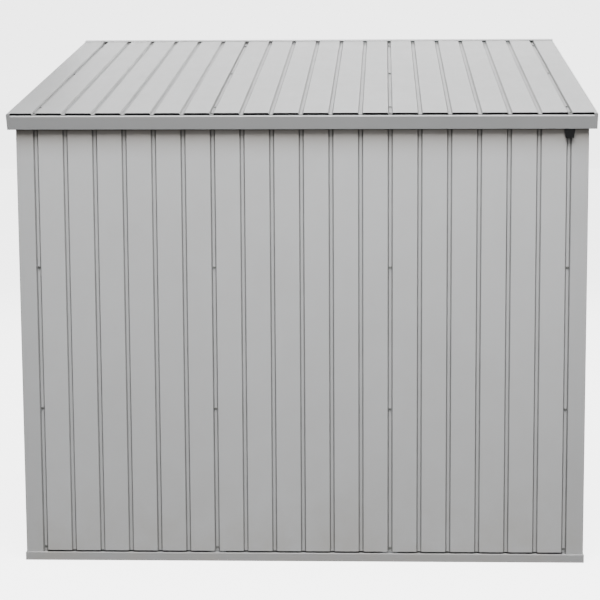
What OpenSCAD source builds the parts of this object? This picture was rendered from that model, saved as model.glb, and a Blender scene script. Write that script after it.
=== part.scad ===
// Ribbed sheet-steel deck storage box with a sloping lid.
// Millimetres. The origin is on the ground, under the middle of the box. The front is at -Y.

/* [Overall size] */
// Width across the corner posts
box_w = 1354; // [900:1:2000]
// Depth across the corner posts
box_d = 794; // [600:1:1100]
// Height of the lid's top face at its front edge
front_h = 1083; // [700:1:1400]
// Height of the lid's top face at its back edge
back_h = 1311; // [1150:1:1500]

/* [Ribbed sheets] */
// Wanted distance between grooves, which is adjusted to fill each wall
rib_pitch = 70; // [50:1:100]
// Width of a groove at the outer face
groove_w = 12; // [10:0.5:16]
// Width of a groove's floor
groove_floor = 6.8; // [6.6:0.1:8]
// Depth of a groove
groove_depth = 4.5; // [3:0.1:6]
// Thickness of the wall and lid sheets
sheet_t = 0.8; // [0.6:0.1:1.2]

/* [Posts and rails] */
// From a corner of the box to the centre of the outermost groove
post_face = 47; // [40:1:60]
// Thickness of posts and trims
trim_t = 1; // [0.8:0.1:1.5]
// Thickness of rails, studs and joists
rail_t = 1.5; // [1.2:0.1:2.5]
// Height of the top rails
rail_h = 66; // [60:1:80]
// Width of the top rails' upper leg
rail_leg = 24; // [20:1:26]
// Width of a stud behind a sheet joint
stud_w = 40; // [30:1:50]
// Depth of a stud
stud_d = 19; // [12:1:19]

/* [Base] */
// Height of the base rails
base_h = 20; // [15:1:40]
// How far the base rails stand out from the walls
base_step = 2; // [1:0.5:5]
// Reach of a base rail's upper flange behind the wall face
base_ledge = 30; // [28:1:40]
// Reach of a base rail's lower flange behind the wall face
base_foot = 60; // [50:1:80]
// Gap between the base rails and the lower ends of the sheets
base_gap = 5; // [1:0.5:8]
// Radius of an anchor hole
anchor_r = 5.5; // [4:0.5:8]
// From a wall face at the end of the box to the anchor hole
anchor_end = 150; // [80:1:250]
// From the front or back wall face to the anchor hole
anchor_in = 45; // [35:1:48]
// Depth of the floor's grooves
floor_groove = 3; // [2:0.5:4]

/* [Lid] */
// Overhang of the lid beyond the side and back walls
overhang = 17; // [15:1:40]
// From the folded edge of the lid's front to the front wall
front_clear = 4; // [3:0.5:12]
// Height of the lid's front, measured square to the lid
lid_edge_h = 39; // [34:1:50]
// From the lid's top face to the top of the walls
wall_gap = 14; // [13:0.5:18]
// Reach of the front flange behind the front wall's face, along the lid
front_flange = 27; // [24:1:30]
// How far the sheets stop behind the front face
sheet_setback = 7; // [3:1:12]
// Width of the foam blocks under the front ends of the lid's sheets
filler_w = 12; // [8:1:14]
// How far the foam blocks stand behind the sheets' ends
filler_in = 2; // [1:0.5:4]
// Width of the back trim's upper lip
back_lip = 20; // [14:1:30]
// Width of the back trim's lower flange
back_flange = 40; // [36:1:50]
// Width of the folded hem along the lid's lower edges
hem = 6; // [4:0.5:8]
// Width of a lid rail, seen from above
lid_rail_w = 20; // [16:1:30]
// Height of a lid rail
lid_rail_h = 12; // [8:1:14]

/* [Hinges] */
// Width of a hinge
hinge_w = 60; // [45:1:90]
// Radius of a hinge knuckle
knuckle_r = 6; // [5:0.5:8]
// Radius of a hinge pin
hinge_pin_r = 3; // [2:0.5:4]
// Thickness of a hinge leaf
leaf_t = 2; // [1.5:0.5:3]
// Length of a hinge leaf from the pin's axis
leaf_l = 34; // [28:1:45]
// Largest opening of the lid, in degrees
lid_open = 65; // [40:1:70]

/* [Stays] */
// From the hinge axis to the stay's pivot, along the lid
stay_reach = 260; // [200:1:320]
// From the lid's top face to the stay's pivot
stay_drop = 28; // [26:1:32]
// From the stay's pivot to the stud while the lid is shut
stay_start = 35; // [30:1:40]
// Width of a stay arm
stay_w = 20; // [18:1:26]
// Thickness of a stay arm
stay_t = 3; // [2:0.5:4]
// Radius of the stud and the pivot
stay_pin_r = 4; // [3:0.5:5]

/* [Screws and small parts] */
// Radius of a sheet screw's head
head_r = 3.2; // [2.5:0.1:3.2]
// Height of a sheet screw's head
head_h = 2.2; // [1.5:0.1:3]
// Radius of a sheet screw's shank
shank_r = 1.9; // [1.5:0.1:2.2]
// Rows of screws up a wall
screw_rows = 4; // [3:1:6]
// From the ends of a wall to its first and last screws
screw_end = 13; // [10:1:20]
// Width of the catch at its top
catch_w = 25; // [20:1:30]
// How far the catch hangs below the lid's front
catch_drop = 20; // [12:1:21]
// Thickness of the catch
catch_t = 2.5; // [2:0.1:3]

/* [Hidden] */

$fn = 32;

// Clearances
lap_gap = 0.05;      // between lapped sheets
filler_gap = 1;      // between the foam blocks and the grooves
edge_gap = 0.3;      // at a sheet's cut edge
butt_gap = 0.2;      // between rails that meet end to end
hole_gap = 0.1;      // round a fixed screw or rivet
pin_gap = 0.05;      // round a hinge pin
swing_gap = 0.4;     // between pieces that move past each other

// Groove layout
front_gaps = 3 * max(1, round((box_w - 2 * post_face) / (3 * rib_pitch)));
side_gaps = 2 * max(1, round((box_d - 2 * post_face) / (2 * rib_pitch)));
front_pitch = (box_w - 2 * post_face) / front_gaps;
side_pitch = (box_d - 2 * post_face) / side_gaps;
lap_depth = groove_depth + sheet_t + lap_gap;
flank_angle = atan2(groove_depth, (groove_w - groove_floor) / 2);
flank_shift = tan(flank_angle / 2);
frame_in = lap_depth + trim_t + lap_gap;

// The lid's front leans back with the slope, so a steeper lid stands further out in front
function front_reach(a) = lid_edge_h * sin(a) + hem * cos(a) + front_clear;
function settled_slope(a, tries) =
    tries == 0 ? a :
    settled_slope(atan((back_h - front_h) / (box_d + overhang + front_reach(a))), tries - 1);

// Lid frame: it starts at the lid's front edge and slopes up to the back
lid_w = box_w + 2 * overhang;
slope = settled_slope(0, 8);
front_overhang = front_reach(slope);
lid_d = box_d + overhang + front_overhang;
lid_len = lid_d / cos(slope);
lid_y0 = -(lid_d + lid_edge_h * sin(slope)) / 2;
y_front = lid_y0 + front_overhang;
y_back = y_front + box_d;
y_mid = (y_front + y_back) / 2;
flange_n = frame_in + trim_t;
flange_end = front_overhang / cos(slope) + front_flange;
trim_ear = 9;        // width of the front trim's closed ends
floor_inset = base_ledge - 2;
floor_sheet_w = (box_w - 2 * floor_inset) / 3;

// Hinges, in the lid frame
hinge_y = y_back + knuckle_r + swing_gap;
hinge_n = -(flange_n + knuckle_r + swing_gap);
hinge_u = (hinge_y - lid_y0 + hinge_n * sin(slope)) / cos(slope);
hinge_z = front_h + hinge_u * sin(slope) + hinge_n * cos(slope);
hinge_places = [-front_pitch * (front_gaps / 2 - 2.5), 0, front_pitch * (front_gaps / 2 - 2.5)];

// Stays. Pivot and stud are equally far from the hinge axis, so the arm turns half as much
// as the lid and its centre line always passes through the stud
pivot_u = hinge_u - stay_reach;
pivot_n = -stay_drop;
stay_radius = norm([stay_reach, hinge_n - pivot_n]);
pivot_dip = atan2(hinge_n - pivot_n, stay_reach);
stud_dip = pivot_dip + 2 * asin(stay_start / (2 * stay_radius));
stud_u = hinge_u - stay_radius * cos(stud_dip);
stud_n = hinge_n - stay_radius * sin(stud_dip);
stay_end = 2 * stay_radius * sin((lid_open + stud_dip - pivot_dip) / 2);
stay_angle = atan2(stud_n - pivot_n, stud_u - pivot_u);
stay_plate_t = 2;
rail_inner = frame_in + rail_leg;
wall_plate_in = rail_inner + 0.6;
arm_in = wall_plate_in + stay_plate_t + swing_gap;
lid_plate_in = arm_in + stay_t + swing_gap;
lid_side_rail_in = lid_plate_in + stay_plate_t;
big = 3 * max(box_w, back_h);

steel = "#bcbec0";
frame_steel = "#a5a8ab";
zinc = "#8f9499";
rubber = "#1c1c1d";

// A point of the lid frame as [y, z] of the box
function in_section(u, n) = [
    lid_y0 + u * cos(slope) - n * sin(slope), front_h + u * sin(slope) + n * cos(slope)
];

// Height of the face that lies gap below the lid's top face, at a given y
function under_lid(y, gap) = front_h + (y - lid_y0) * tan(slope) - gap / cos(slope);

wall_top_front = under_lid(y_front, wall_gap);
wall_top_back = under_lid(y_back - frame_in, wall_gap);
rail_top_back = under_lid(y_back - rail_inner, wall_gap);

// Frames of reference -------------------------------------------------------------------

// x runs along the wall, y goes into the box and z is up, from the foot of the wall
module on_wall(side) {
    if (side == "front") translate([0, y_front, 0]) children();
    if (side == "back") translate([0, y_back, 0]) rotate([0, 0, 180]) children();
    if (side == "left") translate([-box_w / 2, y_mid, 0]) rotate([0, 0, -90]) children();
    if (side == "right") translate([box_w / 2, y_mid, 0]) rotate([0, 0, 90]) children();
}

// x runs across the lid, y goes up its slope and z stands square on it
module on_lid() {
    translate([0, lid_y0, front_h]) rotate([slope, 0, 0]) children();
}

module both_ends() {
    children();
    mirror([1, 0, 0]) children();
}

module below_lid(gap) {
    on_lid() translate([-big / 2, -big / 2, -big - gap]) cube(big);
}

// Ribbed sheet ---------------------------------------------------------------------------

function groove_out(x, d) = [
    [x - groove_w / 2, 0], [x - groove_floor / 2, d],
    [x + groove_floor / 2, d], [x + groove_w / 2, 0]
];

function groove_in(x, d, t) = [
    [x - groove_w / 2 - t * flank_shift, t], [x - groove_floor / 2 - t * flank_shift, d + t],
    [x + groove_floor / 2 + t * flank_shift, d + t], [x + groove_w / 2 + t * flank_shift, t]
];

function reversed(v) = [for (i = [len(v) - 1:-1:0]) v[i]];

// A sheet starts and ends in the floor of a groove. end_d is the depth of the last floor
module sheet_outline(gaps, pitch, end_d) {
    run = gaps * pitch;
    half = groove_floor / 2;
    outer = concat(
        [[-half + edge_gap, groove_depth], [half, groove_depth], [groove_w / 2, 0]],
        [for (k = [1:gaps - 1]) each groove_out(k * pitch, groove_depth)],
        [[run - groove_w / 2, 0], [run - half, end_d], [run + half - edge_gap, end_d]]
    );
    shift = sheet_t * flank_shift;
    inner = concat(
        [
            [-half + edge_gap, groove_depth + sheet_t],
            [half + shift, groove_depth + sheet_t],
            [groove_w / 2 + shift, sheet_t]
        ],
        [for (k = [1:gaps - 1]) each groove_in(k * pitch, groove_depth, sheet_t)],
        [
            [run - groove_w / 2 - shift, sheet_t],
            [run - half - shift, end_d + sheet_t],
            [run + half - edge_gap, end_d + sheet_t]
        ]
    );
    polygon(concat(outer, reversed(inner)));
}

// Sheet number i of count along a wall, standing up
module wall_sheet(side, i, count, gaps, pitch, top) {
    per_sheet = gaps / count;
    end_d = i == count - 1 ? groove_depth : lap_depth;
    difference() {
        on_wall(side)
            translate([(i * per_sheet - gaps / 2) * pitch, 0, base_h + base_gap])
                linear_extrude(top - base_h - base_gap)
                    sheet_outline(per_sheet, pitch, end_d);
        wall_screws(side, true);
    }
}

module front_sheet(i) {
    color(steel) wall_sheet("front", i, 3, front_gaps, front_pitch, wall_top_front);
}

module back_sheet(i) {
    color(steel)
    difference() {
        wall_sheet("back", i, 3, front_gaps, front_pitch, wall_top_back);
        hinge_body_screw_set(true);
    }
}

module side_sheet(side, i) {
    color(steel)
    intersection() {
        wall_sheet(side, i, 2, side_gaps, side_pitch, back_h);
        below_lid(wall_gap);
    }
}

// Screws ---------------------------------------------------------------------------------

module screw(hole, grip) {
    gap = hole ? hole_gap : 0;
    if (!hole) cylinder(r = head_r, h = head_h);
    translate([0, 0, -grip]) cylinder(r = shank_r + gap, h = grip + (hole ? 1 : 0.5));
}

function is_side(side) = side == "left" || side == "right";

// Height of the wall's top where it is screwed
function wall_top(side, x) =
    side == "front" ? wall_top_front :
    side == "back" ? wall_top_back :
    under_lid(y_mid + (side == "left" ? -x : x), wall_gap);

module wall_screws(side, hole) {
    gaps = is_side(side) ? side_gaps : front_gaps;
    pitch = is_side(side) ? side_pitch : front_pitch;
    joints = is_side(side) ? [-1, 0, 1] / 2 : [-3, -1, 1, 3] / 6;
    for (j = joints) {
        x = j * gaps * pitch;
        low = base_h + screw_end;
        high = wall_top(side, x) - screw_end;
        for (k = [0:screw_rows - 1])
            on_wall(side)
                translate([x, groove_depth, low + k * (high - low) / (screw_rows - 1)])
                    rotate([90, 0, 0]) screw(hole, 9);
    }
}

module wall_screw_set(side) {
    color(zinc) wall_screws(side, false);
}

// Base and floor -------------------------------------------------------------------------

// Channel with mitred ends and its open side towards the middle of the box
module base_rail(side) {
    run = (is_side(side) ? box_d : box_w) + 2 * base_step;
    deep = base_foot + base_step;
    shelf = base_ledge + base_step;
    color(frame_steel)
    on_wall(side)
        translate([0, -base_step, 0])
            difference() {
                linear_extrude(base_h)
                    polygon([
                        [-run / 2 + butt_gap, 0], [run / 2 - butt_gap, 0],
                        [run / 2 - deep - butt_gap, deep], [-run / 2 + deep + butt_gap, deep]
                    ]);
                translate([-run / 2, rail_t, rail_t]) cube([run, deep, base_h - 2 * rail_t]);
                translate([-run / 2, shelf, rail_t]) cube([run, deep, base_h]);
                if (!is_side(side))
                    both_ends()
                        translate([box_w / 2 - anchor_end, base_step + anchor_in, -1])
                            cylinder(r = anchor_r, h = rail_t + 2);
            }
}

// A joist lies under the middle groove of each floor sheet
module floor_joists() {
    color(frame_steel)
    for (k = [-1, 0, 1])
        translate([k * floor_sheet_w - stud_w / 2, y_front + base_foot + 1, 0])
            difference() {
                cube([stud_w, box_d - 2 * base_foot - 2, base_h]);
                translate([rail_t, -1, -1])
                    cube([stud_w - 2 * rail_t, box_d, base_h - rail_t + 1]);
            }
}

// One of three ribbed floor sheets, with an odd number of grooves that rest on the rails and joists
module floor_sheet(i) {
    wide = floor_sheet_w;
    grooves = 2 * round((wide / rib_pitch - 2) / 2) + 1;
    step = wide / (grooves + 1);
    outer = [for (k = [1:grooves]) each groove_out(k * step, floor_groove)];
    inner = [for (k = [1:grooves]) each groove_in(k * step, floor_groove, rail_t)];
    color(frame_steel)
    translate([(i - 1.5) * wide, y_front + floor_inset, base_h + floor_groove + rail_t])
        rotate([-90, 0, 0])
            linear_extrude(box_d - 2 * floor_inset)
                polygon(concat(
                    [[butt_gap, 0]], outer, [[wide - butt_gap, 0], [wide - butt_gap, rail_t]],
                    reversed(inner), [[butt_gap, rail_t]]
                ));
}

// Posts, studs and top rails -------------------------------------------------------------

// Half a groove is folded along both edges of the post, under the ends of the sheets
module post_outline() {
    t = trim_t;
    shift = t * flank_shift;
    near = post_face - groove_w / 2;
    low = post_face - groove_floor / 2;
    far = post_face + groove_floor / 2 - edge_gap;
    polygon([
        [far, lap_depth], [low, lap_depth], [near, 0], [0, 0],
        [0, near], [lap_depth, low], [lap_depth, far],
        [lap_depth + t, far], [lap_depth + t, low - shift], [t, near - shift], [t, t],
        [near - shift, t], [low - shift, lap_depth + t], [far, lap_depth + t]
    ]);
}

module corner_post(front, left) {
    color(steel)
    difference() {
        intersection() {
            translate([(left ? -1 : 1) * box_w / 2, front ? y_front : y_back, base_h])
                mirror([left ? 0 : 1, 0, 0]) mirror([0, front ? 0 : 1, 0])
                    linear_extrude(back_h) post_outline();
            below_lid(wall_gap);
        }
        wall_screws(front ? "front" : "back", true);
        wall_screws(left ? "left" : "right", true);
    }
}

module stud_outline() {
    difference() {
        translate([-stud_w / 2, 0]) square([stud_w, stud_d]);
        translate([-stud_w / 2 + rail_t, rail_t]) square([stud_w - 2 * rail_t, stud_d]);
    }
}

// Open channels behind the joints between the sheets of a wall
module studs(side, places, top) {
    difference() {
        on_wall(side)
            for (x = places)
                translate([x, frame_in, base_h])
                    linear_extrude(top - base_h) stud_outline();
        wall_screws(side, true);
    }
}

module front_studs() {
    places = [-1, 1] * front_gaps * front_pitch / 6;
    color(frame_steel) studs("front", places, wall_top_front - rail_h - butt_gap);
}

module back_studs() {
    places = [-1, 1] * front_gaps * front_pitch / 6;
    color(frame_steel) studs("back", places, rail_top_back - rail_h - butt_gap);
}

module side_studs() {
    color(frame_steel)
    intersection() {
        union() {
            studs("left", [0], back_h);
            studs("right", [0], back_h);
        }
        below_lid(wall_gap + rail_h + butt_gap);
    }
}

// Angle: one leg stands against the sheets and the other points into the box
module angle_outline() {
    difference() {
        translate([frame_in, -rail_h]) square([rail_leg, rail_h]);
        translate([frame_in + rail_t, -rail_h - 1]) square([rail_leg, rail_h - rail_t + 1]);
    }
}

module cross_top_rail(side, top) {
    run = box_w - 2 * frame_in;
    color(frame_steel)
    difference() {
        on_wall(side)
            translate([-run / 2, 0, top])
                rotate([90, 0, 90]) linear_extrude(run) angle_outline();
        wall_screws(side, true);
        if (side == "back") hinge_body_screw_set(true);
    }
}

module sloping_top_rail(left) {
    from = y_front + rail_inner + butt_gap;
    to = y_back - rail_inner - butt_gap;
    color(frame_steel)
    difference() {
        intersection() {
            mirror([left ? 0 : 1, 0, 0])
                on_lid() translate([-box_w / 2, lid_len, -wall_gap])
                    rotate([90, 0, 0]) linear_extrude(lid_len) angle_outline();
            translate([-box_w, from, 0]) cube([2 * box_w, to - from, back_h]);
        }
        wall_screws(left ? "left" : "right", true);
    }
}

// Strip that the shut lid's front flange rests on
module lid_buffer_strip() {
    strip_w = 12;
    color(rubber)
    intersection() {
        on_lid()
            translate([
                -box_w / 2 + post_face, (front_overhang + frame_in + 4) / cos(slope),
                -flange_n - swing_gap - big
            ])
                cube([box_w - 2 * post_face, strip_w, big]);
        translate([-box_w, -box_d, wall_top_front]) cube([2 * box_w, 2 * box_d, big]);
    }
}

// Lid ------------------------------------------------------------------------------------

module lid_sheet(i) {
    per_sheet = front_gaps / 3;
    end_d = i == 2 ? groove_depth : lap_depth;
    color(steel)
    difference() {
        on_lid()
            translate([(i * per_sheet - front_gaps / 2) * front_pitch, sheet_setback, 0])
                rotate([-90, 0, 0])
                    linear_extrude(lid_len - sheet_setback)
                        sheet_outline(per_sheet, front_pitch, end_d);
        lid_screw_set(true);
    }
}

// Flat border of the lid with a folded side and half a groove under the sheet's end. Its top
// stops where the sheets do
module lid_side_trim(left) {
    t = trim_t;
    shift = t * flank_shift;
    middle = post_face + overhang;
    near = middle - groove_w / 2;
    low = middle - groove_floor / 2;
    far = middle + groove_floor / 2 - edge_gap;
    color(steel)
    difference() {
        mirror([left ? 0 : 1, 0, 0])
            on_lid() translate([-lid_w / 2, trim_t, 0])
                rotate([-90, 0, 0])
                    linear_extrude(lid_len - trim_t)
                        polygon([
                            [hem, lid_edge_h], [0, lid_edge_h], [0, 0],
                            [near, 0], [low, lap_depth], [far, lap_depth],
                            [far, lap_depth + t], [low - shift, lap_depth + t],
                            [near - shift, t], [t, t], [t, lid_edge_h - t],
                            [hem, lid_edge_h - t]
                        ]);
        on_lid() {
            lid_block(
                [-lid_w / 2 + trim_ear, 0, -frame_in],
                [-lid_w / 2 + middle + groove_w, sheet_setback, trim_t]
            );
            lid_block(
                [lid_w / 2 - middle - groove_w, 0, -frame_in],
                [lid_w / 2 - trim_ear, sheet_setback, trim_t]
            );
        }
        lid_screw_set(true);
    }
}

// Box given by its low and high corners in the lid frame
module lid_block(low, high) {
    translate(low) cube(high - low);
}

module lid_front_trim() {
    half = lid_w / 2;
    inside = half - trim_t - butt_gap;
    catch_x = front_gaps * front_pitch / 2;
    slot = catch_w / 2 + edge_gap;
    color(steel)
    difference() {
        on_lid() {
            lid_block([-half, 0, -lid_edge_h], [half, trim_t, -frame_in]);
            lid_block([-inside, 0, -flange_n], [inside, flange_end, -frame_in]);
            both_ends() lid_block([half - trim_ear, 0, -flange_n], [half, trim_t, 0]);
            lid_block(
                [-half + hem + butt_gap, 0, -lid_edge_h],
                [half - hem - butt_gap, hem, -lid_edge_h + trim_t]
            );
        }
        on_lid()
            lid_block(
                [catch_x - slot, trim_t, -lid_edge_h - 1],
                [catch_x + slot, hem + 1, -lid_edge_h + trim_t + 1]
            );
        lid_screw_set(true);
    }
}

// Outline of a foam block that fills the space under a flat, from the middle of one groove to the
// middle of the next, between a sheet of thickness t and the flange
module filler_outline(from, to, t) {
    top = t + lap_gap;
    bottom = frame_in - lap_gap;
    wide = groove_w / 2 + filler_gap;
    narrow = groove_floor / 2 + filler_gap;
    polygon([
        [from + wide, top], [from + narrow, bottom], [to - narrow, bottom], [to - wide, top]
    ]);
}

// Black foam blocks that close the gaps between the front flange and the lid's flats
module lid_filler_blocks() {
    color(rubber)
    on_lid() translate([0, sheet_setback + filler_in, 0]) rotate([-90, 0, 0])
        linear_extrude(filler_w) {
            for (k = [0:front_gaps - 1])
                translate([(k - front_gaps / 2) * front_pitch, 0])
                    filler_outline(0, front_pitch, sheet_t);
            for (s = [0, 1]) mirror([s, 0])
                intersection() {
                    translate([-box_w / 2, 0])
                        filler_outline(-lid_w / 2, post_face, trim_t);
                    translate([-lid_w / 2 + trim_t + edge_gap, 0]) square(lid_w);
                }
        }
}

module lid_back_trim() {
    half = lid_w / 2;
    inside = half - trim_t - butt_gap;
    color(steel)
    difference() {
        on_lid() {
            lid_block([-half, lid_len - back_lip, 0], [half, lid_len + trim_t, trim_t]);
            lid_block([-half, lid_len, -flange_n], [half, lid_len + trim_t, trim_t]);
            lid_block(
                [-inside, lid_len - back_flange, -flange_n],
                [inside, lid_len + trim_t, -frame_in]
            );
        }
        hinge_lid_screw_set(true);
        lid_screw_set(true);
    }
}

// Front and back ends of the lid rails, clear of the top rails
lid_rail_front = (front_overhang + rail_inner) / cos(slope) + 6;
lid_rail_back = lid_len - (overhang + rail_inner) / cos(slope) - 12;

// Square tube between two corners in the lid frame, open along y or along x
module lid_tube(low, high, along_y) {
    t = rail_t;
    step = along_y ? [t, -1, t] : [-1, t, t];
    difference() {
        lid_block(low, high);
        lid_block(low + step, high - step);
    }
}

module lid_rail(left) {
    side = -box_w / 2 + lid_side_rail_in;
    color(frame_steel)
    difference() {
        mirror([left ? 0 : 1, 0, 0])
            on_lid()
                lid_tube(
                    [side, lid_rail_front, -frame_in - lid_rail_h],
                    [side + lid_rail_w, lid_rail_back, -frame_in], true
                );
        lid_screw_set(true);
    }
}

cross_rail_w = 1.5 * lid_rail_w;
cross_rail_places = [
    lid_rail_front, (lid_rail_front + lid_rail_back - cross_rail_w) / 2,
    lid_rail_back - cross_rail_w
];

module lid_cross_rails() {
    half = box_w / 2 - lid_side_rail_in - lid_rail_w - butt_gap;
    color(frame_steel)
    difference() {
        on_lid()
            for (u = cross_rail_places)
                lid_tube(
                    [-half, u, -frame_in - lid_rail_h],
                    [half, u + cross_rail_w, -frame_in], false
                );
        lid_screw_set(true);
    }
}

module lid_screw_set(hole) {
    rows = concat(
        [2 * sheet_setback],
        [for (u = cross_rail_places) u + cross_rail_w / 2],
        [lid_len - back_lip - 10]
    );
    on_lid()
        for (j = [-3, -1, 1, 3], u = rows)
            translate([j * front_gaps * front_pitch / 6, u, -groove_depth])
                screw(hole, 4.5);
}

module lid_screws() {
    color(zinc) lid_screw_set(false);
}

// Tab behind the front trim. It is bent to hang plumb below the trim, and its rib drops into
// the outermost groove of the wall
module lid_catch() {
    tip_w = 15;
    rib_w = 5;
    rib_h = 8;
    rib_bite = 1;
    catch_x = front_gaps * front_pitch / 2;
    bend = lid_edge_h + trim_t;
    top = flange_n + 4;
    bend_y = lid_y0 + trim_t * cos(slope) + bend * sin(slope);
    bend_z = front_h + trim_t * sin(slope) - bend * cos(slope);
    tip_z = bend_z - catch_drop;
    color(rubber) {
        intersection() {
            translate([catch_x - catch_w / 2, 0, 0])
                rotate([90, 0, 90])
                    linear_extrude(catch_w)
                        polygon([
                            in_section(trim_t, -top), [bend_y, bend_z], [bend_y, tip_z],
                            [bend_y + catch_t, tip_z],
                            in_section(trim_t + catch_t, -bend - catch_t * tan(slope / 2)),
                            in_section(trim_t + catch_t, -top)
                        ]);
            translate([catch_x, box_d, 0])
                rotate([90, 0, 0])
                    linear_extrude(2 * box_d)
                        polygon([
                            [-catch_w / 2, back_h], [catch_w / 2, back_h],
                            [catch_w / 2, bend_z], [tip_w / 2, tip_z],
                            [-tip_w / 2, tip_z], [-catch_w / 2, bend_z]
                        ]);
        }
        translate([catch_x - rib_w / 2, bend_y + catch_t, tip_z])
            cube([rib_w, y_front + rib_bite - bend_y - catch_t, rib_h]);
    }
}

// Hinges ---------------------------------------------------------------------------------

module at_hinge() {
    translate([0, hinge_y, hinge_z]) children();
}

module hinge_barrel(from, to, r) {
    translate([from, 0, 0]) rotate([0, 90, 0]) cylinder(r = r, h = to - from);
}

// Each leaf's plate lies between these distances from the axis
leaf_far = knuckle_r + swing_gap;
leaf_near = leaf_far - leaf_t;
knuckle_split = hinge_w / 6;

module hinge_body_leaf() {
    difference() {
        union() {
            translate([-hinge_w / 2, -leaf_far, -leaf_l]) cube([hinge_w, leaf_t, leaf_l]);
            hinge_barrel(-hinge_w / 2, -knuckle_split, knuckle_r);
            hinge_barrel(knuckle_split, hinge_w / 2, knuckle_r);
        }
        hinge_barrel(-hinge_w, hinge_w, hinge_pin_r + pin_gap);
        hinge_barrel(
            -knuckle_split - swing_gap / 2, knuckle_split + swing_gap / 2,
            leaf_far + swing_gap
        );
    }
}

module hinge_lid_leaf() {
    difference() {
        union() {
            rotate([slope, 0, 0])
                translate([-hinge_w / 2, -leaf_l, leaf_near]) cube([hinge_w, leaf_l, leaf_t]);
            hinge_barrel(-knuckle_split, knuckle_split, knuckle_r);
        }
        hinge_barrel(-hinge_w, hinge_w, hinge_pin_r + pin_gap);
        for (s = [-1, 1])
            hinge_barrel(
                min(s * hinge_w, s * (knuckle_split - swing_gap / 2)),
                max(s * hinge_w, s * (knuckle_split - swing_gap / 2)),
                knuckle_r + swing_gap
            );
    }
}

module hinge_body_leaves() {
    color(zinc)
    difference() {
        for (x = hinge_places) translate([x, 0, 0]) at_hinge() hinge_body_leaf();
        hinge_body_screw_set(true);
    }
}

module hinge_lid_leaves() {
    color(zinc)
    difference() {
        for (x = hinge_places) translate([x, 0, 0]) at_hinge() hinge_lid_leaf();
        hinge_lid_screw_set(true);
    }
}

module hinge_pins() {
    head = 1.5;
    color(zinc)
    for (x = hinge_places)
        translate([x, 0, 0]) at_hinge() {
            hinge_barrel(-hinge_w / 2 - head, hinge_w / 2 + head, hinge_pin_r);
            hinge_barrel(-hinge_w / 2 - head - 0.2, -hinge_w / 2 - 0.2, hinge_pin_r + 1.2);
            hinge_barrel(hinge_w / 2 + 0.2, hinge_w / 2 + head + 0.2, hinge_pin_r + 1.2);
        }
}

// Four screws through each body leaf into the wall and its top rail
module hinge_body_screw_set(hole) {
    for (x = hinge_places, s = [-1, 1], d = [0.45, 0.8])
        translate([x + s * hinge_w / 3, hinge_y - leaf_near, hinge_z - d * leaf_l])
            rotate([-90, 0, 0]) screw(hole, 12);
}

module hinge_body_screws() {
    color(zinc) hinge_body_screw_set(false);
}

// Four screws up through each lid leaf into the back trim
module hinge_lid_screw_set(hole) {
    for (x = hinge_places, s = [-1, 1], d = [0.45, 0.75])
        translate([x + s * hinge_w / 3, 0, 0])
            at_hinge() rotate([slope, 0, 0])
                translate([0, -d * leaf_l, leaf_near])
                    rotate([180, 0, 0]) screw(hole, leaf_t + 1.6);
}

module hinge_lid_screws() {
    color(zinc) hinge_lid_screw_set(false);
}

// Stays ----------------------------------------------------------------------------------

// Lid frame with x = 0 on the outer face of the left wall and x pointing into the box
module at_left_stay(u, n) {
    on_lid() translate([-box_w / 2, u, n]) children();
}

module stay_rod(from, to, r) {
    translate([from, 0, 0]) rotate([0, 90, 0]) cylinder(r = r, h = to - from);
}

// Bent plate on the top rail that carries the stud
module stay_wall_brackets() {
    half = 16;
    low = 14;
    high = 12;
    base = frame_in + rail_t;
    color(zinc)
    both_ends()
        at_left_stay(stud_u, stud_n)
            difference() {
                union() {
                    translate([base, -half, -low]) cube([stay_plate_t, 2 * half, low + high]);
                    translate([base, -half, -low])
                        cube([wall_plate_in + stay_plate_t - base, 2 * half, stay_plate_t]);
                    translate([wall_plate_in, -half, -low])
                        cube([stay_plate_t, 2 * half, low + high]);
                }
                stay_rod(wall_plate_in - 1, wall_plate_in + 3, stay_pin_r - 1 + hole_gap);
            }
}

module stay_studs() {
    plate_out = wall_plate_in + stay_plate_t;
    head_in = arm_in + stay_t + swing_gap;
    color(zinc)
    both_ends()
        at_left_stay(stud_u, stud_n) {
            stay_rod(wall_plate_in - 2, plate_out, stay_pin_r - 1);
            stay_rod(plate_out, head_in, stay_pin_r);
            stay_rod(head_in, head_in + 2.5, stay_pin_r + 3);
            stay_rod(wall_plate_in - 3, wall_plate_in, stay_pin_r + 0.5);
        }
}

module stay_lid_brackets() {
    half = 13;
    top = -frame_in - pivot_n;
    color(zinc)
    both_ends()
        at_left_stay(pivot_u, pivot_n)
            difference() {
                union() {
                    translate([lid_plate_in, -half, 0]) cube([stay_plate_t, 2 * half, top]);
                    stay_rod(lid_plate_in, lid_plate_in + stay_plate_t, half);
                }
                stay_rod(lid_plate_in - 1, lid_plate_in + 3, stay_pin_r - 1 + hole_gap);
            }
}

// Shouldered rivets that the arms turn on
module stay_pivots() {
    color(zinc)
    both_ends()
        at_left_stay(pivot_u, pivot_n) {
            stay_rod(arm_in - swing_gap - 1.8, arm_in - swing_gap / 2, stay_pin_r + 2);
            stay_rod(arm_in - swing_gap / 2, lid_plate_in, stay_pin_r);
            stay_rod(lid_plate_in, lid_plate_in + stay_plate_t, stay_pin_r - 1);
            stay_rod(
                lid_plate_in + stay_plate_t, lid_plate_in + stay_plate_t + 1.8,
                stay_pin_r
            );
        }
}

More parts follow.
